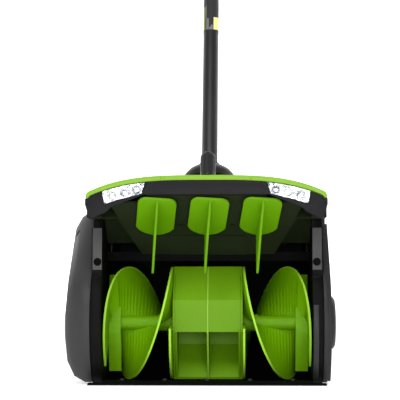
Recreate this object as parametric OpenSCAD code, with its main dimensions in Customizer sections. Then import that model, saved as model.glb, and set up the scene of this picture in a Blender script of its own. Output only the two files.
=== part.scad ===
// Cordless snow shovel: a 12 inch powered auger head on a two-piece pole.
// Frame: X to the right, Y to the rear, Z up. The origin is on the ground under the auger axis.

/* [Head] */
// clear width between the side walls
mouth_w = 304.8; // [300:0.4:308]
// radius swept by the auger
auger_r = 84; // [78:0.5:84]
// depth of the hood in front of the auger axis
hood_reach = 130; // [128:1:134]
// height of the cover at its front edge
top_z = 298.7; // [298:0.1:301]
// distance between the vane posts
vane_pitch = 75.2; // [72:0.4:82]
// turn of the vanes from straight ahead
vane_turn = 6; // [-20:1:20]

/* [Pole] */
// radius of the pole tubes
pole_r = 12.5; // [12.3:0.1:12.5]
// length of the lower pole above the head
lower_len = 440; // [420:10:460]
// length of the upper pole
upper_len = 385; // [380:5:400]
// lowest point of the assist clamp along the pole
clamp_s = 590; // [540:10:640]

/* [Drive] */
// pitch radius of the driven pulley
driven_r = 48; // [44:1:50]
// pitch radius of the motor pulley
driver_r = 12; // [11:0.5:13]

/* [View] */
// node to draw

/* [Hidden] */
$fn = 64;

black = [0.07, 0.07, 0.07];
dark = [0.13, 0.13, 0.13];
grey = [0.3, 0.3, 0.3];
steel = [0.7, 0.7, 0.72];
green = [0.4, 0.65, 0.1];
deep_green = [0.25, 0.45, 0.07];

axis_z = 88;
in_x = mouth_w / 2;
wall_x = in_x + 6;
rim_x = in_x + 14.6;
cover_x = rim_x + 0.5;
cap_x = cover_x + 11;
side_x = in_x + 19.4;
gap = 0.2;
skin = 3;

trough_r = 89;
trough_t = 2.6;
floor_t = 2.9;
trough_z = trough_r + trough_t;
floor_front = -70;

slope = 32;
slope_z = 190.75;
slope_len = hood_reach / cos(slope);
vane_s = -86.9;
vane_out = 18;
vane_w = 55;
vane_l = 87.6;
fin_h = 73;
post_r = 5;
crank_l = 18;
crank_pin_r = 2.5;
stem_l = 107;
stem_r = 4;

cover_t = 7;
cover_tilt = 2;
cover_back = 48;
crown_x = 164;
crown_fall = 21.7;
crown_pow = 3.4;

shaft_r = 6;
sleeve_r = 12.6;
bearing_r = 14;
fit = 0.03;

motor_y = 122;
motor_z = 112;
motor_r = 28;
pulley_x0 = -in_x - 21;
pulley_x1 = -in_x - 31;

pole_lean = 25;
pole_y = 71.6;
pole_z = 300;
pole_in_r = 11;
coupler_s = lower_len - 62;
upper_s = lower_len + 0.3;
handle_s = lower_len + upper_len - 40;

bat_x = 38;
bat_y0 = 108;
bat_y1 = 212;
bat_z0 = 167;
bat_z1 = 231;

bosses = [[-70, 120], [-60, 30], [60, 30], [150, 100], [80, 215], [0, 222]];
lens_cells = [99, 116.5, 134];
scraper_x = [-124, -62, 0, 62, 124];
scraper_y = -60;

function crown(x, drop) = top_z - drop - crown_fall * pow(abs(x) / crown_x, crown_pow);
function lamp_z(x) = (crown(x, cover_t + 2) + 272.5 - (x - 91.5) * 0.275) / 2;
function ease(t) = t * t * t * (t * (6 * t - 15) + 10);

// ---------- shared shapes ----------

// outline in Y and Z drawn out from x0 to x1
module yz_extrude(x0, x1) {
  translate([x0, 0, 0])
    rotate([90, 0, 90])
      linear_extrude(x1 - x0)
        children();
}

// outline in X and Z drawn out from y0 to y1
module xz_extrude(y0, y1) {
  translate([0, y1, 0])
    rotate([90, 0, 0])
      linear_extrude(y1 - y0)
        children();
}

module x_cyl(x0, x1, r, y = 0, z = 0) {
  translate([x0, y, z])
    rotate([0, 90, 0])
      cylinder(h = x1 - x0, r = r);
}

module block(x0, x1, y0, y1, z0, z1) {
  translate([x0, y0, z0])
    cube([x1 - x0, y1 - y0, z1 - z0]);
}

module rounded(w, h, r) {
  square([w - 2 * r, h], center = true);
  square([w, h - 2 * r], center = true);
  for (sx = [-1, 1])
    for (sy = [-1, 1])
      translate([sx * (w / 2 - r), sy * (h / 2 - r)])
        circle(r = r);
}

// frame of the mouth's sloping roof: local Y runs down to the rear, Z is square to the roof
module on_slope() {
  translate([0, 0, slope_z])
    rotate([-slope, 0, 0])
      children();
}

// frame of one vane's post, turned with the vane
module on_vane(x) {
  on_slope()
    translate([x, vane_s, 0])
      rotate([0, 0, vane_turn])
        children();
}

// frame of the pole: local Z runs up along it
module on_pole() {
  translate([0, pole_y, pole_z])
    rotate([-pole_lean, 0, 0])
      children();
}

module both_sides() {
  children();
  mirror([1, 0, 0])
    children();
}

// the cover rises slightly to the rear about its front edge
module tilt_cover() {
  translate([0, -hood_reach, top_z])
    rotate([cover_tilt, 0, 0])
      translate([0, hood_reach, -top_z])
        children();
}

// everything under the arched cover, lowered by drop
module crown_solid(drop) {
  top = [for (i = [-20:20]) [i * crown_x / 20, crown(i * crown_x / 20, drop)]];
  tilt_cover()
    xz_extrude(-hood_reach - 10, 230)
      polygon(concat(top, [[crown_x, -40], [-crown_x, -40]]));
}

// side outline of the head; inset is measured inward
module wall_outline(inset) {
  intersection() {
    union() {
      translate([0, axis_z])
        circle(r = 104 - inset);
      polygon([
        [-82 + inset, 165 + inset], [-82 + inset, 226 - inset], [-60 + inset, 226 - inset],
        [-60 + inset, 262 - inset], [150 - inset / 2, 262 - inset], [184 - inset, 246 - inset],
        [190 - inset, 235 - inset / 2], [190 - inset, 160 + inset / 2], [170 - inset, 141],
        [166 - inset, 60], [148 - inset, inset], [0, inset]
      ]);
    }
    translate([-200, 2 + inset])
      square([500, 400]);
  }
}

// side outline of the covers; top_inset lowers the upper end and low is the flat bottom
module cover_outline(inset, top_inset, low) {
  intersection() {
    hull() {
      translate([0, axis_z])
        circle(r = 106 - inset, $fn = 48);
      translate([118, 112])
        circle(r = 50 - inset, $fn = 32);
      translate([40, 202])
        circle(r = 58 - top_inset, $fn = 32);
    }
    translate([-200, low])
      square([500, 400]);
  }
}

// side outline of the rear housing, open at the front
module housing_outline(inset, front) {
  polygon([
    [front, 100], [front, 304.9 - inset], [61, 304.9 - inset], [110, 282.1 - 1.1 * inset],
    [188 - inset, 245.7 - 0.9 * inset], [192 - inset, 235], [192 - inset, 158],
    [172 - inset, 140], [168 - inset, 60], [150 - 0.9 * inset, inset], [26, inset]
  ]);
}

module screw(head_r, head_h, shank_r, length) {
  difference() {
    cylinder(h = head_h, r = head_r);
    translate([0, 0, head_h / 2])
      cylinder(h = head_h, r = head_r / 2, $fn = 6);
  }
  translate([0, 0, -length])
    cylinder(h = length, r = shank_r);
}

// ---------- head structure ----------

module trough_outline() {
  intersection() {
    translate([0, trough_z])
      difference() {
        circle(r = trough_r + trough_t, $fn = 96);
        circle(r = trough_r, $fn = 96);
      }
    translate([4, -5])
      square([200, 200]);
  }
  difference() {
    translate([floor_front, 0])
      square([12 - floor_front, floor_t]);
    for (y = [-20, -36])
      translate([y, floor_t])
        circle(r = 0.7, $fn = 16);
  }
  translate([2, trough_z + trough_r + 0.6])
    square([5, slope_z - trough_z - trough_r + 3]);
}

module auger_trough() {
  color(dark)
    difference() {
      yz_extrude(-in_x + gap, in_x - gap)
        trough_outline();
      scraper_holes();
    }
}

module scraper_holes() {
  for (x = scraper_x)
    translate([x, scraper_y, -1])
      cylinder(h = 8, r = 2.3);
}

module side_wall() {
  difference() {
    union() {
      yz_extrude(in_x, wall_x)
        wall_outline(0);
      yz_extrude(wall_x - 0.01, rim_x)
        difference() {
          wall_outline(0);
          wall_outline(4);
        }
      x_cyl(in_x, rim_x, 20, 0, axis_z);
      block(wall_x - 1, rim_x, -81.9, -66, 166, 188);
      for (p = bosses)
        x_cyl(wall_x - 1, rim_x + 0.2, 5, p[0], p[1]);
    }
    x_cyl(in_x - 1, rim_x + 1, 9, 0, axis_z);
    x_cyl(in_x + 4.6, rim_x + 1, bearing_r, 0, axis_z);
    for (p = bosses)
      x_cyl(in_x + 2, rim_x + 1, 1.9, p[0], p[1]);
    translate([in_x + 6.2, -82.1, 177])
      rotate([-90, 0, 0]) {
        cylinder(h = 5, r = 5.8);
        cylinder(h = 14, r = 2.2);
      }
  }
}

module side_wall_left() {
  color(grey)
    difference() {
      mirror([1, 0, 0])
        side_wall();
      x_cyl(-rim_x - 1, -in_x + 1, 14.2, motor_y, motor_z);
    }
}

module side_wall_right() {
  color(grey)
    side_wall();
}

// sloping roof of the mouth with two raised side pockets
module hood_liner() {
  back_x = 96;
  front_x = 148;
  lip = (-hood_reach + 3.4) / cos(slope);
  lamp = (-hood_reach + 18.5) / cos(slope);
  pocket_h = 20;
  pocket_l = 92;
  edge_x = back_x + (front_x - back_x) * pocket_l / slope_len;
  lamp_x = back_x + (front_x - back_x) * -lamp / slope_len;
  inner_x = in_x - gap;
  color(dark)
    difference() {
      union() {
        on_slope() {
          linear_extrude(skin)
            polygon([[-back_x, 0], [back_x, 0], [lamp_x, lamp], [86, lamp], [86, lip],
                     [-86, lip], [-86, lamp], [-lamp_x, lamp]]);
          both_sides() {
            linear_extrude(pocket_h + skin)
              polygon([[back_x, 0], [back_x + skin, 0], [edge_x + skin, -pocket_l],
                       [edge_x, -pocket_l]]);
            translate([0, 0, pocket_h])
              linear_extrude(skin)
                polygon([[back_x, 0], [inner_x, 0], [inner_x, -pocket_l], [edge_x, -pocket_l]]);
            linear_extrude(pocket_h + skin)
              polygon([[edge_x, -pocket_l], [inner_x, -pocket_l], [inner_x, -pocket_l - skin],
                       [edge_x, -pocket_l - skin]]);
          }
          translate([-57, -50, -1])
            cube([114, 50, 1.5]);
          for (sx = [-1, 1])
            translate([sx * 38, -74, -2])
              cylinder(h = 2.5, r = 4);
        }
        both_sides() {
          tilt_cover() {
            block(side_x - 3.3, side_x - 0.3, -hood_reach + 18.5, cover_back, 240, 265.6);
            block(rim_x + 0.4, side_x - 0.3, cover_back - 3, cover_back, 240, 266);
          }
          block(in_x - 2, side_x - 0.3, -hood_reach + 18.5, -61, 240, 243);
        }
      }
      for (i = [-1, 0, 1])
        on_slope()
          translate([i * vane_pitch, vane_s, -5])
            cylinder(h = 20, r = post_r + 0.06);
    }
}

module bezel_face() {
  top = [for (i = [-20:20]) [i * 8, crown(i * 8, cover_t + 0.5)]];
  low = [[side_x - 4.5, 265.5], [side_x, 265.5], [side_x + 0.2, 257], [side_x - 6.5, 236.5],
         [162, 237], [152, 242], [142.5, 246], [135.5, 253], [111, 262.5], [88, 271]];
  polygon(concat(
    top, low,
    [for (i = [len(low) - 1:-1:0]) [-low[i][0], low[i][1]]]
  ));
}

// lamp window; above the inset lens it runs up to the green cover
module lens_face(inset) {
  rise = inset > 0 ? 0.6 + inset : -1;
  x0 = 86 + 4 * inset;
  x1 = 148 - 2 * inset;
  top = [for (i = [0:6]) let (x = x0 + i * (x1 - x0) / 6) [x, crown(x, cover_t + 0.5 + rise)]];
  low = [[145 - inset, 259.4], [141, 258.6], [126, 263.7], [111, 267.2], [91.5 + inset, 272.2]];
  polygon(concat(top, [for (p = low) [p[0], p[1] + inset]]));
}

module hood_bezel() {
  color(black)
    difference() {
      xz_extrude(-hood_reach, -hood_reach + 18)
        bezel_face();
      both_sides()
        xz_extrude(-hood_reach - 1, -hood_reach + 19)
          lens_face(0);
      xz_extrude(-hood_reach + 3.1, -hood_reach + 19)
        polygon([[-135.6, 200], [135.6, 200], [135.6, 276.4], [-135.6, 276.4]]);
    }
}

module top_cover() {
  outer = [for (i = [-20:20]) [i * crown_x / 20, crown(i * crown_x / 20, 0)]];
  inner = [for (i = [19:-1:-19]) [i * crown_x / 20, crown(i * crown_x / 20, cover_t)]];
  right = [[168.6, 274.7], [170.9, 271], [171.5, 266], [167.6, 266], [164.5, 269.9]];
  left = [for (i = [4:-1:0]) [-right[i][0], right[i][1]]];
  color(green)
    difference() {
      tilt_cover()
        xz_extrude(-hood_reach, cover_back)
          polygon(concat(outer, right, inner, left));
      for (x = [-64, 64])
        block(x - 0.4, x + 0.4, -hood_reach - 1, -hood_reach + 0.8, 280, 300);
      on_slope()
        translate([0, vane_s, 0])
          cylinder(h = 120, r = 14);
    }
}

module scraper_bar() {
  edge = side_x - 0.3;
  color(dark)
    difference() {
      union() {
        yz_extrude(-edge, edge)
          polygon([[-92, 0], [-90.5, 2.8], [-70.3, 2.8], [-70.3, 0]]);
        yz_extrude(-in_x + 0.6, in_x - 0.6)
          polygon([[-73, 2.6], [-73, 5.4], [-50, 5.4], [-50, 3], [-70.5, 3], [-70.5, 2.6]]);
      }
      scraper_holes();
    }
}

module scraper_screws() {
  color(steel)
    for (x = scraper_x)
      translate([x, scraper_y, 5.5])
        screw(4.2, 2.4, 2, 5);
}

module rear_housing() {
  color(black)
    difference() {
      intersection() {
        yz_extrude(-in_x + gap, in_x - gap)
          housing_outline(0, cover_back + 1.3);
        crown_solid(0);
      }
      intersection() {
        yz_extrude(-in_x + skin + gap, in_x - skin - gap)
          housing_outline(skin, 20);
        crown_solid(skin);
      }
      x_cyl(-in_x - 5, in_x + 5, trough_r + trough_t + 0.3, 0, trough_z);
      on_pole()
        translate([0, 0, -40])
          cylinder(h = 80, r = 21.3);
      block(-bat_x - 3.6, bat_x + 3.6, 180, 200, bat_z0 - 3.4, bat_z1 + 3.4);
      x_cyl(-in_x - 1, -in_x + 6, 24, motor_y, motor_z);
    }
}

module belt_cover() {
  color(grey)
    difference() {
      union() {
        difference() {
          belt_cover_solid(0);
          belt_cover_solid(skin);
        }
        intersection() {
          belt_cover_solid(0.5);
          for (p = bosses)
            x_cyl(-240, -cover_x, 8, p[0], p[1]);
        }
      }
      for (p = bosses) {
        x_cyl(-240, -cover_x - skin, 5, p[0], p[1]);
        x_cyl(-cover_x - 5, -cover_x + 1, 2.2, p[0], p[1]);
      }
      block(-side_x - 0.4, -cover_x + 1, -200, 300, 236, 300);
    }
}

// bulging outside of the belt cover as slices that get smaller outward
module belt_cover_solid(inset) {
  open = inset == skin ? 1 : 0;
  hull() {
    yz_extrude(-cover_x - 10 + inset / 2, -cover_x + open)
      cover_outline(inset, inset, 3 + inset);
    yz_extrude(-in_x - 40.6 + inset, -cover_x - 12)
      cover_outline(inset + 5, inset + 10, 12 + inset);
    yz_extrude(-in_x - 50 + inset, -cover_x - 20)
      cover_outline(inset + 14, inset + 26, 34 + inset);
    x_cyl(-in_x - 60.2 + inset, -cover_x - 20, 34, 6, 84);
  }
}

module side_cover_right() {
  color(grey)
    difference() {
      union() {
        yz_extrude(cover_x + 3.5, cap_x - gap)
          cover_outline(2, 5, 5);
        yz_extrude(cover_x, cover_x + 6)
          difference() {
            cover_outline(0, 0, 3);
            cover_outline(3, 3, 6);
          }
        for (p = bosses)
          x_cyl(cover_x, cover_x + 5, 7, p[0], p[1]);
      }
      x_cyl(cover_x - 1, cap_x + 1, 30, 0, axis_z);
      for (p = bosses) {
        x_cyl(cover_x + 4, cap_x + 1, 5, p[0], p[1]);
        x_cyl(cover_x - 1, cover_x + 9, 2.2, p[0], p[1]);
      }
      block(cover_x - 1, cap_x + 1, -200, cover_back + 2.2, 236, 300);
    }
}

module bearing_cap() {
  color(dark)
    translate([cap_x, 0, axis_z])
      rotate([0, 90, 0])
        rotate_extrude($fn = 96)
          polygon([[0, 8], [27, 8], [30, 10.2], [34, 10.2], [38, 8], [40.6, 4], [40.6, 0], [27, 0],
                   [27, 5], [0, 5]]);
}

module wear_strip() {
  color(grey)
    yz_extrude(in_x + 0.1, in_x + 7.6)
      intersection() {
        translate([0, axis_z])
          difference() {
            circle(r = 107, $fn = 96);
            circle(r = 104.2, $fn = 96);
          }
        translate([-120, 10])
          square([80, 105]);
      }
}

module cover_screws() {
  color(steel)
    both_sides()
      for (p = bosses)
        translate([cover_x + 4.1, p[0], p[1]])
          rotate([0, 90, 0])
            screw(4, 2.6, 1.8, 14);
}

module arm_screws() {
  color(steel)
    both_sides()
      translate([in_x + 6.2, -77.3, 177])
        rotate([90, 0, 0])
          rotate([0, 0, 30])
            screw(4.6, 1.6, 2, 9);
}

module auger_bearings() {
  color(steel)
    both_sides()
      difference() {
        x_cyl(in_x + 4.8, in_x + 12.8, bearing_r - fit, 0, axis_z);
        x_cyl(in_x, rim_x, shaft_r + fit, 0, axis_z);
      }
}

// ---------- lamps ----------

module headlight_lens() {
  xz_extrude(-hood_reach + 0.2, -hood_reach + 2.7)
    lens_face(0.3);
}

module headlight_lens_left() {
  color([0.9, 0.93, 0.95])
    mirror([1, 0, 0])
      headlight_lens();
}

module headlight_lens_right() {
  color([0.9, 0.93, 0.95])
    headlight_lens();
}

module headlight_reflector() {
  difference() {
    xz_extrude(-hood_reach + 3, -hood_reach + 15)
      lens_face(0.3);
    for (x = lens_cells)
      translate([x, -hood_reach + 2.9, lamp_z(x)])
        rotate([-90, 0, 0]) {
          cylinder(h = 10, r1 = 7, r2 = 3.4);
          cylinder(h = 14, r = 2.6);
        }
  }
}

module headlight_reflector_left() {
  color([0.85, 0.86, 0.88])
    mirror([1, 0, 0])
      headlight_reflector();
}

module headlight_reflector_right() {
  color([0.85, 0.86, 0.88])
    headlight_reflector();
}

module led_boards() {
  color([0.9, 0.9, 0.8])
    both_sides() {
      xz_extrude(-hood_reach + 15.2, -hood_reach + 17)
        lens_face(3);
      for (x = lens_cells)
        translate([x, -hood_reach + 11, lamp_z(x)])
          rotate([-90, 0, 0])
            cylinder(h = 5, r = 2.4);
    }
}

// ---------- drive ----------

module motor_body() {
  x0 = -in_x + 6;
  color(steel)
    difference() {
      union() {
        x_cyl(x0, x0 + 62, motor_r, motor_y, motor_z);
        x_cyl(x0 - 1.5, x0 + 70, 12, motor_y, motor_z);
      }
      x_cyl(x0 - 5, x0 + 66, 4 + fit, motor_y, motor_z);
      for (a = [0:30:330])
        translate([0, motor_y, motor_z])
          rotate([a, 0, 0])
            block(x0 + 12, x0 + 52, motor_r - 2, motor_r + 1, -3, 3);
      for (a = [45:90:315])
        translate([0, motor_y, motor_z])
          rotate([a, 0, 0])
            x_cyl(x0 - 5, x0 + 6, 1.7, 20, 0);
    }
}

module motor_bracket() {
  x1 = -in_x + 5.8;
  color(steel)
    difference() {
      union() {
        yz_extrude(x1 - 2.2, x1)
          translate([motor_y, motor_z])
            rounded(54, 58, 8);
        block(x1 - 2.2, x1 + 60, motor_y - 14, motor_y + 14, motor_z - 32, motor_z - 28.4);
        block(x1 - 2.2, x1, motor_y - 14, motor_y + 14, motor_z - 32, motor_z - 20);
      }
      x_cyl(x1 - 5, x1 + 1, 12.3, motor_y, motor_z);
      for (a = [45:90:315])
        translate([0, motor_y, motor_z])
          rotate([a, 0, 0])
            x_cyl(x1 - 5, x1 + 1, 1.9, 20, 0);
    }
}

module motor_screws() {
  x1 = -in_x + 5.8;
  color(steel)
    for (a = [45:90:315])
      translate([0, motor_y, motor_z])
        rotate([a, 0, 0])
          translate([x1 - 2.3, 20, 0])
            mirror([1, 0, 0])
              rotate([0, 90, 0])
                screw(2.6, 1, 1.6, 6);
}

module motor_shaft() {
  color(steel)
    x_cyl(pulley_x1 - 4, -in_x + 70, 4, motor_y, motor_z);
}

module motor_pulley() {
  color(dark)
    difference() {
      pulley(driver_r, 17);
      x_cyl(pulley_x1 - 5, pulley_x0 + 5, 4.02, motor_y, motor_z);
    }
}

module pulley(r, wide) {
  translate([pulley_x1, motor_y, motor_z])
    rotate([0, 90, 0])
      rotate_extrude()
        polygon([[0, 0], [r + 3, 0], [r + 3, 1.4], [r - 0.5, 1.6], [r - 0.5, 8.4],
                 [r + 3, 8.6], [r + 3, 10], [0, 10]]);
}

module driven_pulley() {
  color(dark)
    difference() {
      translate([pulley_x1, 0, axis_z])
        rotate([0, 90, 0])
          rotate_extrude($fn = 96)
            polygon([[shaft_r + 0.02, -2], [12, -2], [12, 3], [driven_r - 6, 3],
                     [driven_r - 6, 0], [driven_r + 3, 0], [driven_r + 3, 1.4],
                     [driven_r - 0.5, 1.6], [driven_r - 0.5, 8.4], [driven_r + 3, 8.6],
                     [driven_r + 3, 10], [driven_r - 6, 10], [driven_r - 6, 7], [12, 7],
                     [12, 10], [shaft_r + 0.02, 10]]);
      for (a = [0:60:300])
        translate([pulley_x1 - 1, 0, axis_z])
          rotate([a, 0, 0])
            x_cyl(0, 12, 8, 27, 0);
    }
}

module pulley_nut() {
  color(steel)
    difference() {
      translate([pulley_x1 - 9.2, 0, axis_z])
        rotate([0, 90, 0]) {
          cylinder(h = 5.5, r = 10, $fn = 6);
          translate([0, 0, 5.5])
            cylinder(h = 1.5, r = 11.5);
        }
      x_cyl(pulley_x1 - 12, pulley_x1 + 1, shaft_r + 0.02, 0, axis_z);
    }
}

module belt_path(extra) {
  hull() {
    translate([0, axis_z])
      circle(r = driven_r + extra);
    translate([motor_y, motor_z])
      circle(r = driver_r + extra);
  }
}

module drive_belt() {
  color(black)
    yz_extrude(pulley_x1 + 2, pulley_x0 - 2)
      difference() {
        belt_path(2.4);
        belt_path(0.2);
      }
}

module controller_board() {
  color([0.1, 0.35, 0.15])
    block(20, 120, 126, 127.8, 62, 138);
  color(black) {
    block(30, 60, 116, 126, 80, 118);
    for (x = [72, 88, 104])
      translate([x, 126, 90])
        rotate([90, 0, 0])
          cylinder(h = 16, r = 5);
    block(24, 116, 127.8, 133, 66, 128);
  }
}

module wire(a, b, r) {
  step = b - a;
  length = norm(step);
  translate(a)
    rotate([0, acos(step[2] / length), atan2(step[1], step[0])])
      cylinder(h = length, r = r);
}

module head_wiring() {
  color([0.7, 0.1, 0.1]) {
    wire([-70, 124, 145], [22, 112, 112], 2);
    wire([40, 108, 124], [20, 94, 186], 2);
    wire([112, 124.2, 136], [118, -58, 264], 1.5);
    wire([30, 106, 126], [2, 52, 208], 1.5);
  }
}

module battery_bay() {
  color(dark)
    difference() {
      block(-bat_x - 3.4, bat_x + 3.4, bat_y0 - 6, 190, bat_z0 - 3.2, bat_z1 + 3.2);
      block(-bat_x - 0.6, bat_x + 0.6, bat_y0 - 0.6, 191, bat_z0 - 0.6, bat_z1 + 0.6);
      for (x = [-18, 0, 18])
        block(x - 3.2, x + 3.2, bat_y0 - 7, bat_y0, 188, 206);
    }
}

module battery_terminals() {
  color(steel)
    for (x = [-18, 0, 18]) {
      block(x - 0.5, x + 0.5, bat_y0 - 6, bat_y0 + 10, 190, 204);
      block(x - 3, x + 3, bat_y0 - 8, bat_y0 - 6, 190, 204);
    }
}

module battery_pack() {
  color(green)
    difference() {
      union() {
        block(-bat_x, bat_x, bat_y0, 193, bat_z0, bat_z1);
        translate([0, 0, (bat_z0 + bat_z1) / 2])
          xz_extrude(192.9, bat_y1)
            rounded(2 * bat_x + 6, bat_z1 - bat_z0 + 8, 10);
      }
      for (x = [-18, 0, 18])
        block(x - 1.2, x + 1.2, bat_y0 - 1, bat_y0 + 13, 187, 207);
      block(-14.4, 14.4, 196, bat_y1 + 1, bat_z1 - 9, bat_z1 + 5);
    }
}

module battery_latch() {
  color(grey)
    block(-14, 14, 197, bat_y1 - 1, bat_z1 - 4, bat_z1 + 5);
}

// ---------- auger ----------

module auger_shaft() {
  color(steel)
    x_cyl(pulley_x1 - 13, in_x + 20, shaft_r, 0, axis_z);
}

module impeller_blade() {
  yz_extrude(-47, 47)
    polygon([[0, auger_r], [-38, 34], [-38, -13], [-9, -7], [-9, -4], [-35, -9.4],
             [-35, 32.8], [1.5, 80.9]]);
  for (sx = [-1, 1])
    yz_extrude(sx * 49 - 2.5, sx * 49 + 2.5)
      polygon([[0, auger_r], [-10, 70.8], [1.5, 80.9]]);
}

// outline of a plate between the two blades; out raises its flat edges
function web(out) = [
  [0, auger_r], [-38 - out, 34], [-38 - out, -13 - out], [0, -auger_r], [38 + out, -34],
  [38 + out, 13 + out]
];

module impeller() {
  end_web = [[0, 60], [-36.5, 33], [-36.5, -13], [0, -60], [36.5, -33], [36.5, 13]];
  color(green)
    translate([0, 0, axis_z])
      difference() {
        union() {
          impeller_blade();
          rotate([180, 0, 0])
            impeller_blade();
          yz_extrude(-1.4, 1.4)
            polygon(web(1.2));
          for (x = [-46.8, 46.8])
            yz_extrude(x - 1.4, x + 1.4)
              polygon(web(0));
          for (x = [-49, 49])
            yz_extrude(x - 2, x + 2)
              polygon(end_web);
          x_cyl(-51, 51, sleeve_r);
        }
        x_cyl(-60, 60, shaft_r + 0.02);
      }
}

// one screw flight: a ribbon between the sleeve and the auger radius
module flight_ribbon() {
  steps = 50;
  first = -85;
  last = 318;
  thick = 3;
  inner = 9.5;
  turn = [for (i = [0:steps]) first + (last - first) * i / steps];
  place = [for (a = turn) 53.5 + 95.4 * ease(min(1, max(0, a) / 300))];
  points = [for (i = [0:steps]) each [
    [place[i] - thick / 2, -inner * sin(turn[i]), inner * cos(turn[i])],
    [place[i] + thick / 2, -inner * sin(turn[i]), inner * cos(turn[i])],
    [place[i] + thick / 2, -auger_r * sin(turn[i]), auger_r * cos(turn[i])],
    [place[i] - thick / 2, -auger_r * sin(turn[i]), auger_r * cos(turn[i])]
  ]];
  sides = [for (i = [0:steps - 1]) for (k = [0:3]) each [
    [4 * i + k, 4 * i + 4 + (k + 1) % 4, 4 * i + (k + 1) % 4],
    [4 * i + k, 4 * i + 4 + k, 4 * i + 4 + (k + 1) % 4]
  ]];
  ends = [[0, 1, 2], [0, 2, 3],
          [4 * steps, 4 * steps + 2, 4 * steps + 1], [4 * steps, 4 * steps + 3, 4 * steps + 2]];
  polyhedron(points = points, faces = concat(sides, ends));
}

module end_paddle() {
  yz_extrude(130, 148.5)
    polygon([[0, 72], [20, 14], [20, 0], [12, -23], [9, -22], [17, 0.5], [17, 13.5], [6, 46],
             [2, 46], [2, 8], [-2, 8], [-2, 71]]);
}

module flight() {
  translate([0, 0, axis_z]) {
    for (a = [0, 180])
      rotate([a, 0, 0]) {
        flight_ribbon();
        end_paddle();
      }
    rotate([0, 90, 0])
      rotate_extrude()
        polygon([[shaft_r + 0.02, 51.2], [sleeve_r, 51.2], [sleeve_r, 74.6], [10.6, 74.6],
                 [10.6, 150.4], [shaft_r + 0.02, 150.4]]);
  }
}

module flight_right() {
  color(deep_green)
    flight();
}

module flight_left() {
  color(deep_green)
    mirror([1, 0, 0])
      flight();
}

// ---------- vanes ----------

module vane_plate() {
  end_r = 29.5;
  translate([0, 0, -6.8])
    linear_extrude(3.5) {
      intersection() {
        translate([0, vane_l / 2 - end_r])
          circle(r = end_r);
        translate([-vane_w / 2, 0])
          square([vane_w, vane_l]);
      }
      translate([0, -12])
        rounded(vane_w, vane_l - 24, 12);
      translate([-vane_w / 2, -20])
        square([vane_w, 43]);
    }
}

module vane_fin() {
  yz_extrude(-1.5, 1.5)
    polygon([[-vane_l / 2 + 2, -5], [vane_l / 2 - 1, -5], [vane_l / 2 - 1, -fin_h - 2],
             [vane_l / 2 - 6, -fin_h - 1], [0, -38], [-30, -15]]);
}

module vane_post() {
  translate([0, 0, -3.8])
    cylinder(h = 3.3, r = 9);
  translate([0, 0, -1])
    cylinder(h = 8.2, r = post_r);
}

module vane_crank() {
  cylinder(h = 3.6, r = 8);
  translate([-4, 0, 0])
    cube([8, crank_l, 3.6]);
  translate([0, crank_l, 0]) {
    cylinder(h = 3.6, r = 5);
    cylinder(h = 5, r = crank_pin_r);
  }
}

module vane(x) {
  on_vane(x) {
    translate([0, -vane_out, 0]) {
      vane_plate();
      vane_fin();
    }
    vane_post();
    translate([0, 0, 3.6])
      vane_crank();
  }
}

module vane_left() {
  color(green)
    vane(-vane_pitch);
}

module vane_middle() {
  color(green) {
    vane(0);
    on_vane(0)
      cylinder(h = stem_l, r = stem_r);
  }
}

module vane_right() {
  color(green)
    vane(vane_pitch);
}

module vane_link_bar() {
  color(grey)
    on_slope()
      translate([0, vane_s, 7.6])
        difference() {
          translate([-crank_l * sin(vane_turn), crank_l * cos(vane_turn), 0])
            linear_extrude(3)
              rounded(2 * vane_pitch + 14, 12, 5.9);
          for (i = [-1:1])
            translate([i * vane_pitch - crank_l * sin(vane_turn), crank_l * cos(vane_turn), -1])
              cylinder(h = 8, r = crank_pin_r + 0.06);
        }
}

module vane_knob() {
  color(dark)
    on_vane(0)
      translate([0, 0, stem_l - 30])
        difference() {
          union() {
            rotate_extrude()
              polygon([[stem_r + 0.02, 0], [11.2, 0], [11.5, 2], [11.5, 38], [10.6, 42], [8, 45],
                       [stem_r + 0.02, 46.4]]);
            translate([0, 0, 31])
              cylinder(h = 15, r = 5);
          }
          for (a = [0:30:330])
            rotate([0, 0, a])
              translate([12.1, 0, 8])
                cylinder(h = 28, r = 1.3, $fn = 24);
        }
}

// ---------- pole ----------

module swivel_socket() {
  color(dark)
    on_pole() {
      difference() {
        union() {
          translate([0, 0, -84])
            cylinder(h = 80, r = 19);
          intersection() {
            translate([0, 0, -8.2])
              cylinder(h = 5, r = 34);
            block(-40, 40, -9, 40, -10, 0);
          }
        }
        translate([0, 0, -79])
          cylinder(h = 90, r = pole_r + 0.05);
        translate([0, 0, -90])
          cylinder(h = 30, r = 4);
      }
    }
}

module swivel_collar() {
  color(dark)
    on_pole()
      difference() {
        union() {
          rotate_extrude($fn = 96)
            polygon([[pole_r + 0.02, 1], [41, 1], [41, 9], [39.5, 14], [35, 20], [28, 25.5],
                     [20, 30], [17, 32], [17, 36], [pole_r + 0.02, 36]]);
          translate([-37, 0, 1])
            cylinder(h = 7.5, r = 9);
        }
        for (a = [0, 180])
          rotate([0, 0, a])
            block(36, 50, -6, 6, 9.5, 40);
      }
}

module tube(s0, s1, r_out, r_in) {
  translate([0, 0, s0])
    difference() {
      cylinder(h = s1 - s0, r = r_out);
      translate([0, 0, -1])
        cylinder(h = s1 - s0 + 2, r = r_in);
    }
}

module lower_pole() {
  color(grey)
    on_pole()
      tube(-75, lower_len, pole_r, pole_in_r);
}

module pole_label() {
  color([0.9, 0.8, 0.1])
    on_pole()
      tube(290, 372, pole_r + 0.25, pole_r + 0.02);
}

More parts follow.
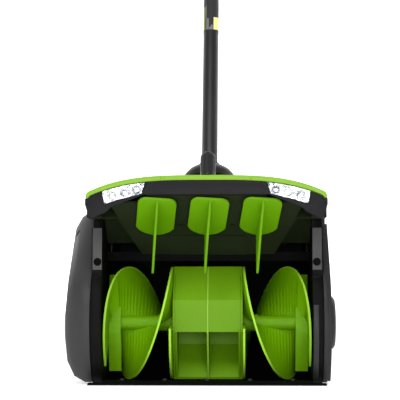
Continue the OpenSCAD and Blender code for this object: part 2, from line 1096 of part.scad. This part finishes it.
module pole_coupler() {
  color(dark)
    on_pole()
      difference() {
        union() {
          tube(coupler_s, lower_len + 14, 19, pole_r + 0.02);
          block(-9, 9, -30, -14, coupler_s + 12, coupler_s + 52);
        }
        block(-6.2, 6.2, -31, -19.4, coupler_s + 11, coupler_s + 53);
        translate([0, 0, coupler_s - 1])
          cylinder(h = 100, r = pole_r + 0.02);
        x_cyl(-10, 10, 2.55, -25, coupler_s + 20);
      }
}

module coupler_lever() {
  color(grey)
    on_pole() {
      x_cyl(-8.9, 8.9, 2.5, -25, coupler_s + 20);
      x_cyl(-5.9, 5.9, 4.8, -25, coupler_s + 20);
      translate([0, 0, coupler_s])
        yz_extrude(-5.9, 5.9)
          polygon([[-29.5, 18], [-33, 26], [-32, 64], [-28, 66], [-25, 62], [-21, 24]]);
    }
}

// tube with a smaller spigot below that slides into the lower pole
module upper_pole() {
  color(grey)
    on_pole() {
      tube(upper_s, upper_s + upper_len, pole_r - 0.02, pole_in_r);
      tube(upper_s - 55, upper_s + 0.2, pole_in_r - 0.04, pole_in_r - 2);
      tube(upper_s, upper_s + 20, pole_in_r + 0.3, pole_in_r - 2);
    }
}

module assist_clamp() {
  color(dark)
    on_pole()
      difference() {
        union() {
          tube(clamp_s, clamp_s + 34, 19, pole_r);
          block(-18, 18, -43, -10, clamp_s, clamp_s + 34);
          block(-19, 19, 10, 27, clamp_s + 5, clamp_s + 29);
        }
        translate([0, 0, clamp_s - 1])
          cylinder(h = 40, r = pole_r);
        x_cyl(-20, 20, 8.06, -32, clamp_s + 17);
        x_cyl(-20, 20, 3.06, 19.5, clamp_s + 17);
        block(-1.5, 1.5, 10, 30, clamp_s - 1, clamp_s + 36);
      }
}

// one bent end of the loop handle, as three joined tubes
module loop_side() {
  bend = 18;
  translate([40, 0, 0]) {
    translate([0, -bend, 0])
      rotate_extrude(angle = 90)
        translate([bend, 0])
          circle(r = 8);
    translate([bend, -bend, 0])
      rotate([90, 0, 0])
        cylinder(h = 82, r = 8);
    translate([0, -bend - 82, 0])
      rotate([0, 0, -90])
        rotate_extrude(angle = 90)
          translate([bend, 0])
            circle(r = 8);
  }
}

module assist_handle() {
  color(grey)
    on_pole()
      translate([0, -32, clamp_s + 17]) {
        loop_side();
        mirror([1, 0, 0])
          loop_side();
        x_cyl(-40, 40, 8);
        x_cyl(-40, 40, 8, -118);
      }
}

module assist_grip() {
  color(black)
    on_pole()
      difference() {
        x_cyl(-39, 39, 13, -150, clamp_s + 17);
        x_cyl(-40, 40, 8.02, -150, clamp_s + 17);
        for (i = [-4:4])
          translate([i * 8, -150, clamp_s + 17])
            rotate([0, 90, 0])
              rotate_extrude()
                translate([13, 0])
                  circle(r = 0.9, $fn = 16);
      }
}

module assist_knob() {
  color(dark)
    on_pole()
      translate([0, 19.5, clamp_s + 17]) {
        x_cyl(-20, 21, 3);
        difference() {
          x_cyl(19.4, 33, 13);
          for (a = [0:60:300])
            rotate([a, 0, 0])
              x_cyl(18, 34, 3.5, 14.5, 0);
        }
      }
}

// ---------- rear handle ----------

// side outline of the rear handle with its finger opening
module handle_profile() {
  difference() {
    translate([20, handle_s + 95])
      rounded(82, 190, 20);
    translate([34, handle_s + 108])
      rounded(34, 110, 14);
    translate([16, handle_s - 40])
      square([80, 62]);
  }
}

// pockets inside the handle for the pole, trigger, buttons and wires
module handle_inside() {
  translate([0, 0, handle_s - 1])
    cylinder(h = 43, r = pole_r + 0.02);
  block(-7.2, 7.2, -12, 18, handle_s + 95, handle_s + 150);
  block(-5.2, 5.2, -22, -10, handle_s + 100, handle_s + 116);
  block(-7.2, 7.2, -22, -9.5, handle_s + 48, handle_s + 66);
  translate([0, 0, handle_s + 30])
    cylinder(h = 80, r = 5);
}

module handle_shell_left() {
  color(green)
    on_pole()
      difference() {
        yz_extrude(-17, -0.05)
          handle_profile();
        handle_inside();
      }
}

module handle_shell_right() {
  color(black)
    on_pole()
      difference() {
        yz_extrude(0.05, 17)
          handle_profile();
        handle_inside();
      }
}

module trigger() {
  color(black)
    on_pole()
      translate([0, 0, handle_s + 143]) {
        x_cyl(-7, 7, 5.5, 6);
        yz_extrude(-6.8, 6.8)
          polygon([[1.5, -3], [8, 1], [25, -6], [28, -12], [23, -38], [17, -44], [1.5, -44]]);
      }
}

module lock_button() {
  color(green)
    on_pole()
      block(-4.9, 4.9, -24.5, -13.5, handle_s + 100.3, handle_s + 115.7);
}

module light_switch() {
  color(green)
    on_pole()
      block(-6.9, 6.9, -23.5, -12.5, handle_s + 48.3, handle_s + 65.7);
}

auger_trough();
side_wall_left();
side_wall_right();
hood_liner();
hood_bezel();
top_cover();
scraper_bar();
scraper_screws();
rear_housing();
belt_cover();
side_cover_right();
bearing_cap();
wear_strip();
cover_screws();
arm_screws();
auger_bearings();
headlight_lens_left();
headlight_lens_right();
headlight_reflector_left();
headlight_reflector_right();
led_boards();
motor_body();
motor_bracket();
motor_screws();
controller_board();
head_wiring();
battery_bay();
battery_terminals();
swivel_socket();
drive_belt();
auger_shaft();
impeller();
flight_left();
flight_right();
driven_pulley();
pulley_nut();
motor_shaft();
motor_pulley();
vane_left();
vane_middle();
vane_right();
vane_link_bar();
vane_knob();
swivel_collar();
lower_pole();
pole_label();
pole_coupler();
coupler_lever();
upper_pole();
assist_clamp();
assist_handle();
assist_grip();
assist_knob();
handle_shell_left();
handle_shell_right();
trigger();
lock_button();
light_switch();
battery_pack();
battery_latch();
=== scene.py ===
"""Cordless snow shovel: materials, soft edges, finer trim, studio and camera on the shared frame."""
import math

import bmesh
import bpy
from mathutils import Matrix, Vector


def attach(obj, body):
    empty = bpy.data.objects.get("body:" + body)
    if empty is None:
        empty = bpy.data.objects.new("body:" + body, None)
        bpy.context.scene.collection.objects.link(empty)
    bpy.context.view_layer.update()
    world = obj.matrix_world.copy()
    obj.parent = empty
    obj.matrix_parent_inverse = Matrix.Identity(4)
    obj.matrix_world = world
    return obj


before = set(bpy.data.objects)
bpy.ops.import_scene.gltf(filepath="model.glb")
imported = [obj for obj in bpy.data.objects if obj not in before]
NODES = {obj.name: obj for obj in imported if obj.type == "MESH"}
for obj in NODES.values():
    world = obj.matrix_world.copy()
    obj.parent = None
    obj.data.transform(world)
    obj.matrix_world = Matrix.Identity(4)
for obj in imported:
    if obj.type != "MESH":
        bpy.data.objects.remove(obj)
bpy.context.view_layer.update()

# The pole leans back from its foot. The label's lowest band is placed by distance along it.
POLE_LEAN = math.radians(25)
POLE_FOOT_HEIGHT = 0.3
LABEL_BAND = (0.297, 0.322)

# The auger's axis, the radius beyond which its flights carry a painted highlight, and the x limits
# of the painted highlight line on the edge of the impeller's middle web.
AUGER_HEIGHT = 0.088
FLIGHT_HIGHLIGHT_RADIUS = 0.0828
WEB_EDGE_HIGHLIGHT = (-0.0009, 0.0009)

# Outline of the impeller's cheeks as (y, z) from the auger's axis, and how far from
# the middle each of them starts and ends in x.
CHEEK_OUTLINE = ((0.0, 0.0822), (-0.0374, 0.0338), (-0.0374, -0.0126),
                 (0.0, -0.0822), (0.0374, -0.0338), (0.0374, 0.0126))
CHEEK_SPAN = (0.0483, 0.0517)

# Limits of the lighter strip on the front edge of each side wall.
WALL_STRIP = {"y": (-0.0826, -0.0795), "z": (0.1655, 0.2262)}
STRIP_LEFT = {"x": (-0.1656, -0.15), **WALL_STRIP}
STRIP_RIGHT = {"x": (0.15, 0.1656), **WALL_STRIP}

# Distances from the middle of the hood over which the lamps' painted shade fades to bright.
LAMP_SHADE_TO_BRIGHT = (0.1, 0.112)

# Angles in degrees: edges sharper than these are shaded as corners, or bevelled.
USUAL_CORNER = 32.0
CRISP_CORNER = 15.0
RIBBON_CORNER = 80.0
BEVEL_CORNER = 40.0
WELD_DISTANCE = 0.00002

CAMERA_PLACE = (0.050, -2.082, 0.122)
CAMERA_DIRECTION = (-0.02999, 1.0, 0.07225)
CAMERA_LENS = 124.56

WORLD_GLOW = 0.5
FLOOR_GLOW = 0.55
BACK_GLOW = 1.0
FLOOR_SIZE = 400.0
BACK_SIZE = 60.0
FLOOR_DROP = 0.0004
BACK_DISTANCE = 12.0

# Each light's place, the point it faces, its width and height, and its power in watts.
LIGHTS = {
    "key light": ((-0.25, -1.9, 2.15), (0.0, 0.0, 0.12), (1.5, 0.9), 36.0),
    "front light": ((0.15, -2.6, 0.3), (0.0, 0.0, 0.1), (1.6, 0.5), 19.0),
    "left light": ((-2.4, -0.6, 0.7), (0.0, 0.0, 0.15), (0.8, 1.0), 8.0),
    "right light": ((2.4, -0.2, 0.9), (0.0, 0.0, 0.3), (0.8, 1.0), 8.0),
}


def display(red, green, blue):
    """Linear colour for levels read off a display, 0 to 255."""
    return tuple((level / 255.0) ** 2.2 for level in (red, green, blue))


# ---------------------------------------------------------------- shader helpers

def new_material(name):
    material = bpy.data.materials.new(name)
    material.use_nodes = True
    tree = material.node_tree
    tree.nodes.clear()
    output = tree.nodes.new("ShaderNodeOutputMaterial")
    shader = tree.nodes.new("ShaderNodeBsdfPrincipled")
    tree.links.new(shader.outputs["BSDF"], output.inputs["Surface"])
    return material, tree, shader


def feed(tree, socket, value):
    """Gives a socket a constant, or links it to another node's output."""
    if isinstance(value, bpy.types.NodeSocket):
        tree.links.new(value, socket)
    elif isinstance(value, tuple) and len(value) == 3 and socket.type == "RGBA":
        socket.default_value = (*value, 1.0)
    else:
        socket.default_value = value


def object_coords(tree, stretch=(1.0, 1.0, 1.0)):
    coords = tree.nodes.new("ShaderNodeTexCoord")
    mapping = tree.nodes.new("ShaderNodeMapping")
    mapping.inputs["Scale"].default_value = stretch
    tree.links.new(coords.outputs["Object"], mapping.inputs["Vector"])
    return mapping.outputs["Vector"]


def noise(tree, coords, scale, detail=3.0):
    node = tree.nodes.new("ShaderNodeTexNoise")
    node.inputs["Scale"].default_value = scale
    node.inputs["Detail"].default_value = detail
    tree.links.new(coords, node.inputs["Vector"])
    return node.outputs["Fac"]


def spread(tree, value, low, high, from_low=0.3, from_high=0.7):
    """Maps a value from one range to another, held at both ends."""
    node = tree.nodes.new("ShaderNodeMapRange")
    node.inputs["From Min"].default_value = from_low
    node.inputs["From Max"].default_value = from_high
    node.inputs["To Min"].default_value = low
    node.inputs["To Max"].default_value = high
    tree.links.new(value, node.inputs["Value"])
    return node.outputs["Result"]


def mixed(tree, amount, first, second):
    """The first colour where amount is 0 and the second where it is 1."""
    node = tree.nodes.new("ShaderNodeMix")
    node.data_type = "RGBA"
    colors = [socket for socket in node.inputs if socket.type == "RGBA"]
    feed(tree, node.inputs["Factor"], amount)
    feed(tree, colors[0], first)
    feed(tree, colors[1], second)
    return next(socket for socket in node.outputs if socket.type == "RGBA")


def calculate(tree, operation, first, second=0.0, third=0.0):
    node = tree.nodes.new("ShaderNodeMath")
    node.operation = operation
    for socket, value in zip(node.inputs, (first, second, third)):
        feed(tree, socket, value)
    return node.outputs["Value"]


def split(tree, coords):
    """The x, y and z of a vector."""
    node = tree.nodes.new("ShaderNodeSeparateXYZ")
    tree.links.new(coords, node.inputs["Vector"])
    return tuple(node.outputs)


def zone(tree, coords, **limits):
    """1 inside a box and 0 outside it; limits are x, y or z with (low, high)."""
    parts = split(tree, coords)
    inside = 1.0
    for axis, (low, high) in limits.items():
        part = parts["xyz".index(axis)]
        here = calculate(tree, "COMPARE", part, (low + high) / 2, (high - low) / 2)
        inside = calculate(tree, "MULTIPLY", inside, here)
    return inside


def beyond(tree, coords, radius):
    """1 further than radius from the auger's axis, 0 nearer to it."""
    _, back, up = split(tree, coords)
    rise = calculate(tree, "SUBTRACT", up, AUGER_HEIGHT)
    squared = calculate(tree, "MULTIPLY_ADD", back, back, calculate(tree, "MULTIPLY", rise, rise))
    return calculate(tree, "GREATER_THAN", squared, radius * radius)


def scaled(tree, color, amount):
    """A colour, constant or linked, made lighter or darker by amount."""
    node = tree.nodes.new("ShaderNodeVectorMath")
    node.operation = "SCALE"
    feed(tree, node.inputs[0], color)
    tree.links.new(amount, node.inputs["Scale"])
    return node.outputs["Vector"]


def uneven_sheen(tree, shader, coords, scale, low, high):
    """Roughness that wanders between low and high, in patches of this noise scale."""
    patches = noise(tree, coords, scale)
    tree.links.new(spread(tree, patches, low, high), shader.inputs["Roughness"])


def add_bump(tree, shader, height, strength, depth):
    ridge = tree.nodes.new("ShaderNodeBump")
    ridge.inputs["Strength"].default_value = strength
    ridge.inputs["Distance"].default_value = depth
    tree.links.new(height, ridge.inputs["Height"])
    tree.links.new(ridge.outputs["Normal"], shader.inputs["Normal"])


# ---------------------------------------------------------------- kinds of material

def plastic(name, color, rough=0.45, sheen=0.3, grain=1100.0, bump=0.12, wear=0.12,
            stretch=(1.0, 1.0, 1.0), second=None, zones=(), rim=None):
    """Moulded plastic with fine grain, faint flow marks and an uneven sheen.

    second is the colour inside the zones, each of them a box of x, y and z limits,
    and beyond the radius rim about the auger's axis."""
    material, tree, shader = new_material(name)
    coords = object_coords(tree, stretch)
    broad = noise(tree, coords, scale=14.0, detail=4.0)
    tone = spread(tree, broad, 1.0 - wear, 1.0 + wear)
    base = color
    for limits in zones:
        base = mixed(tree, zone(tree, coords, **limits), base, second)
    # Beyond the rim radius the second colour is the flights' painted highlight.
    if rim is not None:
        base = mixed(tree, beyond(tree, coords, rim), base, second)
    tree.links.new(scaled(tree, base, tone), shader.inputs["Base Color"])
    tree.links.new(spread(tree, broad, rough - 0.06, rough + 0.08), shader.inputs["Roughness"])
    shader.inputs["Specular IOR Level"].default_value = sheen
    fine = noise(tree, coords, grain, detail=2.0)
    add_bump(tree, shader, fine, bump, depth=0.0004)
    return material


def metal(name, color, rough=0.3):
    """Bare metal that is a little duller in patches."""
    material, tree, shader = new_material(name)
    coords = object_coords(tree)
    broad = noise(tree, coords, scale=60.0, detail=4.0)
    dull = tuple(level * 0.75 for level in color)
    tone = mixed(tree, spread(tree, broad, 0.0, 1.0), dull, color)
    tree.links.new(tone, shader.inputs["Base Color"])
    shader.inputs["Metallic"].default_value = 1.0
    tree.links.new(spread(tree, broad, rough - 0.05, rough + 0.12), shader.inputs["Roughness"])
    fine = noise(tree, coords, scale=1500.0, detail=2.0)
    add_bump(tree, shader, fine, strength=0.06, depth=0.0002)
    return material


def clear_plastic(name):
    """Thin clear moulding with a faint waviness."""
    material, tree, shader = new_material(name)
    coords = object_coords(tree)
    shader.inputs["Base Color"].default_value = (0.97, 0.98, 1.0, 1.0)
    shader.inputs["Transmission Weight"].default_value = 1.0
    shader.inputs["IOR"].default_value = 1.15
    uneven_sheen(tree, shader, coords, 40.0, 0.02, 0.08)
    add_bump(tree, shader, noise(tree, coords, scale=160.0), strength=0.15, depth=0.0005)
    return material


def lamp_chrome(name):
    """Reflector: facets of painted reflection, painted shade in the cells nearest the hood's middle."""
    material, tree, shader = new_material(name)
    coords = object_coords(tree)
    facets = tree.nodes.new("ShaderNodeTexVoronoi")
    facets.inputs["Scale"].default_value = 170.0
    tree.links.new(coords, facets.inputs["Vector"])
    patch = split(tree, facets.outputs["Color"])[0]
    # Painted shade darkens the inner cells; dark and bright facets are painted reflections.
    side = calculate(tree, "ABSOLUTE", split(tree, coords)[0])
    outer = spread(tree, side, 0.0, 0.4, *LAMP_SHADE_TO_BRIGHT)
    bright = spread(tree, calculate(tree, "ADD", patch, outer), 0.0, 1.0, 0.15, 1.0)
    tone = mixed(tree, bright, display(66, 72, 78), display(222, 224, 225))
    tree.links.new(tone, shader.inputs["Base Color"])
    shader.inputs["Metallic"].default_value = 0.5
    uneven_sheen(tree, shader, coords, 90.0, 0.12, 0.3)
    # The faint glow is painted brightness: the reflector gives no light itself.
    tree.links.new(tone, shader.inputs["Emission Color"])
    shader.inputs["Emission Strength"].default_value = 0.05
    add_bump(tree, shader, facets.outputs["Distance"], strength=0.3, depth=0.001)
    return material


def emitter(name):
    """White plastic that glows faintly, for the lamps' light boards."""
    material, tree, shader = new_material(name)
    coords = object_coords(tree)
    patches = spread(tree, noise(tree, coords, 300.0), 0.0, 1.0)
    glow = mixed(tree, patches, (0.85, 0.9, 1.0), (1.0, 1.0, 1.0))
    tree.links.new(glow, shader.inputs["Base Color"])
    tree.links.new(glow, shader.inputs["Emission Color"])
    shader.inputs["Emission Strength"].default_value = 0.7
    uneven_sheen(tree, shader, coords, 80.0, 0.3, 0.5)
    add_bump(tree, shader, noise(tree, coords, scale=900.0), strength=0.1, depth=0.0002)
    return material


def pole_height(along):
    """Height above the ground of the pole's axis, this far along it."""
    return POLE_FOOT_HEIGHT + along * math.cos(POLE_LEAN)


def label_blocks():
    """The colour of each block on the label, with its limits."""
    low, high = (pole_height(along) for along in LABEL_BAND)
    yellow = display(226, 218, 140)
    olive = display(120, 124, 60)
    light = display(104, 103, 106)
    return (
        (yellow, {"x": (0.0045, 0.02), "z": (low, high)}),
        (olive, {"x": (-0.02, -0.0095), "z": (low, high + 0.02)}),
        (light, {"x": (-0.0075, -0.0035), "z": (low, high - 0.002)}),
        (light, {"x": (-0.0085, -0.0075), "z": (high - 0.002, high + 0.022)}),
        (light, {"x": (0.0, 0.0035), "z": (low, high - 0.014)}),
        (light, {"x": (-0.0028, 0.0), "z": (low, low + 0.005)}),
    )


def banded_label(name):
    """Black sleeve, its lowest band pale yellow at the sides with small light blocks between."""
    material, tree, shader = new_material(name)
    coords = object_coords(tree)
    color = display(44, 44, 44)
    for block_color, limits in label_blocks():
        color = mixed(tree, zone(tree, coords, **limits), color, block_color)
    tree.links.new(color, shader.inputs["Base Color"])
    uneven_sheen(tree, shader, coords, 120.0, 0.35, 0.5)
    shader.inputs["Specular IOR Level"].default_value = 0.25
    add_bump(tree, shader, noise(tree, coords, scale=700.0), strength=0.05, depth=0.0002)
    return material


def white_surface(name, glow):
    """Matt white that also gives off a little light, as a lit paper sweep does."""
    material, tree, shader = new_material(name)
    coords = object_coords(tree)
    patches = spread(tree, noise(tree, coords, 3.0), 0.0, 1.0)
    tone = mixed(tree, patches, (0.90, 0.90, 0.90), (0.92, 0.92, 0.92))
    tree.links.new(tone, shader.inputs["Base Color"])
    tree.links.new(tone, shader.inputs["Emission Color"])
    shader.inputs["Emission Strength"].default_value = glow
    shader.inputs["Roughness"].default_value = 0.9
    shader.inputs["Specular IOR Level"].default_value = 0.1
    return material


# ---------------------------------------------------------------- looks, and the nodes that have them

def black_looks():
    return {
        # Darker than the housing: partly the plastic's black, partly painted shade of the deep trough.
        "inside": plastic("inside black with painted shade", display(14, 16, 14), rough=0.65, sheen=0.05),
        "roof": plastic("roof black", display(36, 42, 28), rough=0.6, sheen=0.05),
        "black": plastic("housing black", display(27, 26, 28), rough=0.5, sheen=0.2),
        "hood": plastic("hood face", display(25, 25, 27), rough=0.5, sheen=0.15),
        "dome": plastic("dome black", display(32, 31, 32), rough=0.4, sheen=0.3),
        "wall": plastic("wall black", display(11, 12, 10), rough=0.6, sheen=0.1,
                        second=display(72, 72, 73), zones=(STRIP_RIGHT, STRIP_LEFT)),
        "pole": plastic("pole coat", display(18, 18, 19), rough=0.34, sheen=0.5, grain=1600.0,
                        bump=0.06, wear=0.08, stretch=(1.0, 1.0, 0.15)),
        "rubber": plastic("belt rubber", (0.015, 0.015, 0.015), rough=0.7, sheen=0.2, grain=500.0,
                          bump=0.25, wear=0.2),
        "grip": plastic("grip foam", (0.018, 0.018, 0.019), rough=0.8, sheen=0.3, grain=1500.0,
                        bump=0.5, wear=0.2),
        "label": banded_label("pole label"),
    }


def grey_looks():
    return {
        "cover": plastic("cover charcoal", display(52, 52, 53), rough=0.5, sheen=0.22),
        "side": plastic("side cover charcoal", display(40, 40, 41), rough=0.5, sheen=0.22),
        "wear": plastic("wear strip grey", display(36, 36, 38), rough=0.45, sheen=0.3),
        "steel": metal("plain steel", (0.62, 0.62, 0.64)),
        "dark steel": metal("blackened steel", (0.05, 0.05, 0.052), rough=0.5),
    }


def green_looks():
    return {
        "green cover": plastic("cover green", display(114, 158, 36), rough=0.4, sheen=0.25,
                               grain=1300.0, bump=0.06, wear=0.04),
        "green vane": plastic("vane green", display(92, 142, 6), rough=0.45, sheen=0.12,
                              grain=1300.0, bump=0.05, wear=0.06),
        # The lighter second colour on the flights' outer rim is a painted highlight.
        "green flight": plastic("flight green", display(108, 161, 5), rough=0.45, sheen=0.15,
                                grain=800.0, bump=0.06, wear=0.05,
                                second=display(146, 198, 56), rim=FLIGHT_HIGHLIGHT_RADIUS),
        # The lighter second colour along the middle web's edge is a painted highlight.
        "green impeller": plastic("impeller green", display(104, 150, 20), rough=0.45, sheen=0.12,
                                  grain=800.0, bump=0.06, wear=0.05,
                                  second=display(136, 186, 64), zones=({"x": WEB_EDGE_HIGHLIGHT},)),
    }


def lamp_and_wiring_looks():
    return {
        "lens": clear_plastic("lamp lens"),
        "reflector": lamp_chrome("lamp reflector"),
        "led": emitter("lamp emitters"),
        "board": plastic("board green", (0.02, 0.12, 0.04), rough=0.4, sheen=0.4, grain=300.0, bump=0.2),
        "wire": plastic("wire sheath", (0.02, 0.004, 0.004), rough=0.4, sheen=0.2, grain=900.0,
                        bump=0.05),
    }


MATERIALS = {**black_looks(), **grey_looks(), **green_looks(), **lamp_and_wiring_looks()}

LOOKS = {
    "inside": "auger_trough battery_bay scraper_bar arm_screws",
    "roof": "hood_liner",
    "hood": "hood_bezel",
    "black": "rear_housing handle_shell_right trigger swivel_socket pole_coupler assist_clamp assist_knob "
             "driven_pulley motor_pulley",
    "dome": "swivel_collar vane_knob",
    "side": "side_cover_right bearing_cap",
    "cover": "belt_cover vane_link_bar coupler_lever assist_handle battery_latch",
    "wall": "side_wall_left side_wall_right",
    "wear": "wear_strip",
    "green cover": "top_cover handle_shell_left lock_button light_switch battery_pack",
    "green vane": "vane_left vane_middle vane_right",
    "green flight": "flight_left flight_right",
    "green impeller": "impeller",
    "dark steel": "scraper_screws cover_screws",
    "steel": "auger_bearings motor_body motor_bracket motor_screws battery_terminals auger_shaft "
             "pulley_nut motor_shaft",
    "pole": "lower_pole upper_pole",
    "lens": "headlight_lens_left headlight_lens_right",
    "reflector": "headlight_reflector_left headlight_reflector_right",
    "led": "led_boards",
    "board": "controller_board",
    "rubber": "drive_belt",
    "wire": "head_wiring",
    "grip": "assist_grip",
    "label": "pole_label",
}

BEVELS = {
    0.0012: "top_cover hood_bezel belt_cover side_cover_right bearing_cap rear_housing battery_pack "
            "handle_shell_left handle_shell_right swivel_collar assist_clamp pole_coupler",
    0.0006: "side_wall_left side_wall_right vane_left vane_middle vane_right scraper_bar "
            "wear_strip coupler_lever trigger lock_button light_switch battery_latch assist_knob",
}
CHEEK_BEVEL = 0.0004

CRISP = "impeller"
RIBBONS = "flight_left flight_right"


# ---------------------------------------------------------------- dressing the CAD nodes

def paint(obj, material):
    obj.data.materials.clear()
    obj.data.materials.append(material)


def smooth(obj, degrees):
    """Smooth shading, with edges sharper than this angle left sharp."""
    obj.data.polygons.foreach_set("use_smooth", [True] * len(obj.data.polygons))
    obj.data.set_sharp_from_angle(angle=math.radians(degrees))


def weld(obj):
    """Joins points that lie together, so that shading and bevels run across them."""
    modifier = obj.modifiers.new("weld", "WELD")
    modifier.merge_threshold = WELD_DISTANCE


def keep_corners(obj, degrees):
    """After welding, keeps the edges sharper than this angle crisp."""
    modifier = obj.modifiers.new("crisp corners", "EDGE_SPLIT")
    modifier.split_angle = math.radians(degrees)
    modifier.use_edge_sharp = False


def soften(obj, width):
    """Rounded edges, as modifiers only."""
    weld(obj)
    bevel = obj.modifiers.new("rounded edges", "BEVEL")
    bevel.width = width
    bevel.segments = 2
    bevel.limit_method = "ANGLE"
    bevel.angle_limit = math.radians(BEVEL_CORNER)
    bevel.harden_normals = True
    bevel.use_clamp_overlap = True


def dress_nodes():
    for look, names in LOOKS.items():
        for name in names.split():
            paint(NODES[name], MATERIALS[look])
            smooth(NODES[name], USUAL_CORNER)
    for width, names in BEVELS.items():
        for name in names.split():
            soften(NODES[name], width)
    for name in CRISP.split():
        smooth(NODES[name], CRISP_CORNER)
    for name in RIBBONS.split():
        weld(NODES[name])
        keep_corners(NODES[name], RIBBON_CORNER)


# ---------------------------------------------------------------- finer trim

def add_plate(shape, side):
    """One plate between the two ends of CHEEK_SPAN, on the side -1 or 1."""
    near, far = ([shape.verts.new((side * x, y, AUGER_HEIGHT + z)) for y, z in CHEEK_OUTLINE]
                 for x in CHEEK_SPAN)
    shape.faces.new(near)
    shape.faces.new(far)
    for i in range(len(near)):
        shape.faces.new((near[i - 1], near[i], far[i], far[i - 1]))


def impeller_cheeks():
    """Two plates that close the narrow gaps between the impeller's webs and the screw flights."""
    shape = bmesh.new()
    for side in (-1, 1):
        add_plate(shape, side)
    bmesh.ops.recalc_face_normals(shape, faces=shape.faces)
    mesh = bpy.data.meshes.new("impeller_cheeks")
    shape.to_mesh(mesh)
    shape.free()
    cheeks = bpy.data.objects.new("impeller_cheeks", mesh)
    bpy.context.scene.collection.objects.link(cheeks)
    paint(cheeks, MATERIALS["green impeller"])
    soften(cheeks, CHEEK_BEVEL)
    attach(cheeks, "auger")


# ---------------------------------------------------------------- studio

def sheet_of_paper(name, material, size, place, turn):
    bpy.ops.mesh.primitive_plane_add(size=size, location=place, rotation=(turn, 0.0, 0.0))
    plane = bpy.context.active_object
    plane.name = name
    plane.data.materials.append(material)


def soft_box(name, place, target, size, power):
    light = bpy.data.lights.new(name, "AREA")
    light.shape = "RECTANGLE"
    light.size, light.size_y = size
    light.energy = power
    obj = bpy.data.objects.new(name, light)
    obj.location = place
    obj.rotation_euler = (Vector(target) - Vector(place)).to_track_quat("-Z", "Y").to_euler()
    bpy.context.scene.collection.objects.link(obj)


def world_light():
    world = bpy.data.worlds.new("studio")
    bpy.context.scene.world = world
    world.use_nodes = True
    background = world.node_tree.nodes["Background"]
    background.inputs["Color"].default_value = (1.0, 1.0, 1.0, 1.0)
    background.inputs["Strength"].default_value = WORLD_GLOW


def studio():
    world_light()
    for name, (place, target, size, power) in LIGHTS.items():
        soft_box(name, place, target, size, power)
    sheet_of_paper("studio_floor", white_surface("studio floor", FLOOR_GLOW), FLOOR_SIZE,
                   (0.0, 0.0, -FLOOR_DROP), 0.0)
    sheet_of_paper("studio_back", white_surface("studio back", BACK_GLOW), BACK_SIZE,
                   (0.0, BACK_DISTANCE, 0.0), math.radians(90))


def camera():
    data = bpy.data.cameras.new("camera")
    data.sensor_width = 36.0
    data.lens = CAMERA_LENS
    data.clip_end = 100.0
    obj = bpy.data.objects.new("camera", data)
    obj.location = CAMERA_PLACE
    obj.rotation_euler = Vector(CAMERA_DIRECTION).to_track_quat("-Z", "Y").to_euler()
    bpy.context.scene.collection.objects.link(obj)
    bpy.context.scene.camera = obj
    bpy.context.scene.view_settings.view_transform = "Standard"


dress_nodes()
impeller_cheeks()
studio()
camera()
